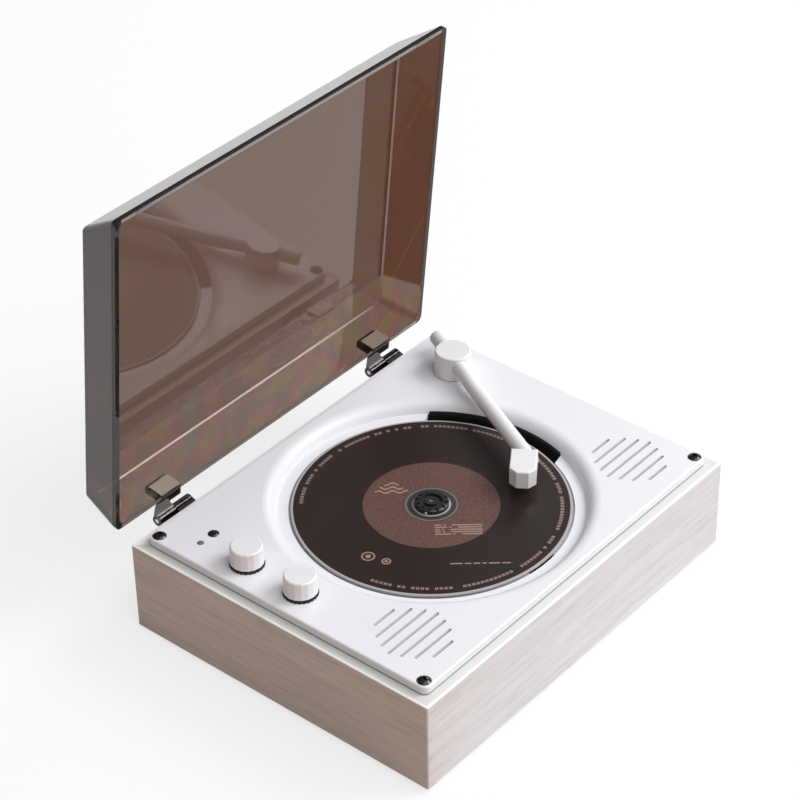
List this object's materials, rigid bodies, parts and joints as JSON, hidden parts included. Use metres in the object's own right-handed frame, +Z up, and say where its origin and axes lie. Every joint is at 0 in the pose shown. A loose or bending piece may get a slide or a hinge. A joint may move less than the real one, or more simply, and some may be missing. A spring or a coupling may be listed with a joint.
{
  "type": "compact disc player with dust cover",
  "caption": "Table-top compact disc player in a wooden case, with a hinged smoked dust cover, a swinging tonearm, turning knobs, loudspeakers and a sled-fed pickup.",
  "frame": {"origin": "centre of the case's footprint, on the surface the feet stand on", "axes": "+X to the player's right, -Y to its front, +Z up"},
  "size_m": [0.201, 0.1905, 0.2073],
  "materials": {
    "case_wood": "whitewashed grain",
    "raw_wood": "plain",
    "black_plastic": "satin",
    "black_rubber": "matte",
    "white_plastic": "satin",
    "black_metal": "gloss",
    "steel": "satin",
    "speaker_steel": "satin",
    "paper_cone": "matte",
    "arm_plastic": "satin",
    "control_metal": "satin",
    "aluminium": "satin",
    "circuit_board": "solder mask",
    "infrared_plastic": "gloss",
    "clear_plastic": "clear",
    "brass": "plain",
    "disc": "printed top, mirror underside",
    "motor_steel": "satin",
    "lens_glass": "polished",
    "white_nylon": "satin",
    "chip_plastic": "matte",
    "smoked_plastic": "polished, see-through",
    "hinge_plastic": "dark, slightly see-through"
  },
  "bodies": {
    "case": {"front_wall": "case_wood", "rear_wall": "case_wood", "left_wall": "case_wood", "right_wall": "case_wood", "corner_blocks": "raw_wood", "base_cover": "black_plastic", "port_panel": "black_plastic", "feet": "black_rubber", "dampers": "black_rubber", "top_plate": "white_plastic", "plate_screws": "black_metal", "base_screws": "steel", "small_screws": "steel", "damper_screws": "steel", "guide_rods": "steel", "gear_axle": "steel", "hinge_pins": "steel", "finger_liner": "black_plastic", "speakers": "speaker_steel", "speaker_cones": "paper_cone", "volume_control": "control_metal", "playback_control": "control_metal", "control_collars": "black_plastic", "control_board": "circuit_board", "main_board": "circuit_board", "infrared_window": "infrared_plastic", "light_pipe": "clear_plastic", "arm_bush": "brass", "arm_washer": "black_plastic", "spindle_motor": "motor_steel", "feed_motor": "motor_steel", "deck": "black_plastic", "board_parts": "chip_plastic", "audio_jack": "black_plastic", "power_socket": "steel", "power_switch": "black_plastic", "case_leaves": "hinge_plastic"},
    "lid": {"dust_cover": "smoked_plastic", "lid_leaves": "hinge_plastic", "lid_bumpers": "clear_plastic"},
    "tonearm": {"arm_drum": "arm_plastic", "arm_tube": "arm_plastic", "arm_tail": "arm_plastic", "headshell": "arm_plastic", "arm_shaft": "steel"},
    "volume": {"volume_knob": "arm_plastic", "volume_shaft": "aluminium"},
    "playback_rotor": {"playback_rotor": "black_plastic"},
    "playback": {"playback_knob": "arm_plastic", "playback_shaft": "aluminium"},
    "spinner": {"compact_disc": "disc", "turntable": "black_plastic", "chuck_balls": "steel", "spindle_shaft": "steel"},
    "sled": {"pickup_sled": "black_plastic", "lens": "lens_glass"},
    "feed_gear": {"feed_gear": "white_nylon"},
    "motor_pinion": {"motor_pinion": "white_nylon"},
    "power_slider": {"switch_slider": "black_plastic"}
  },
  "joints": [
    {"name": "lid_hinge", "type": "hinge", "parent": "case", "child": "lid", "pos_m": [0, 0.0856, 0.042], "axis": [1, 0, 0], "range_deg": [0, 84]},
    {"name": "arm_swing", "type": "hinge", "parent": "case", "child": "tonearm", "pos_m": [0.07656, 0.0501, 0.0492], "axis": [0, 0, 1], "range_deg": [-8, 28]},
    {"name": "volume_turn", "type": "hinge", "parent": "case", "child": "volume", "pos_m": [-0.0824, 0.0305, 0.0492], "axis": [0, 0, 1], "range_deg": [-150, 150]},
    {"name": "playback_turn", "type": "hinge", "parent": "case", "child": "playback_rotor", "pos_m": [-0.0824, 0.0011, 0.0492], "axis": [0, 0, 1], "continuous": true},
    {"name": "playback_press", "type": "slide", "parent": "playback_rotor", "child": "playback", "axis": [0, 0, -1], "range_m": [0, 0.0005], "stiffness_N_per_m": 1500, "springref_m": -0.0008},
    {"name": "disc_spin", "type": "hinge", "parent": "case", "child": "spinner", "pos_m": [0, 0, 0.0492], "axis": [0, 0, 1], "continuous": true},
    {"name": "feed_gear_turn", "type": "hinge", "parent": "case", "child": "feed_gear", "pos_m": [0.0326, -0.033, 0.025], "axis": [0, 0, 1], "range_deg": [-1, 329]},
    {"name": "sled_feed", "type": "slide", "parent": "case", "child": "sled", "axis": [0, -1, 0], "range_m": [0, 0.032]},
    {"name": "motor_pinion_turn", "type": "hinge", "parent": "case", "child": "motor_pinion", "pos_m": [0.04035, -0.01958, 0.025], "axis": [0, 0, 1], "range_deg": [-1126, 2]},
    {"name": "power_slide", "type": "slide", "parent": "case", "child": "power_slider", "axis": [1, 0, 0], "range_m": [0, 0.0025]}
  ],
  "couplings": [
    {"joint": "feed_gear_turn", "follows": "sled_feed", "rad_per_m": 178.57},
    {"joint": "motor_pinion_turn", "follows": "sled_feed", "rad_per_m": -612.24}
  ]
}
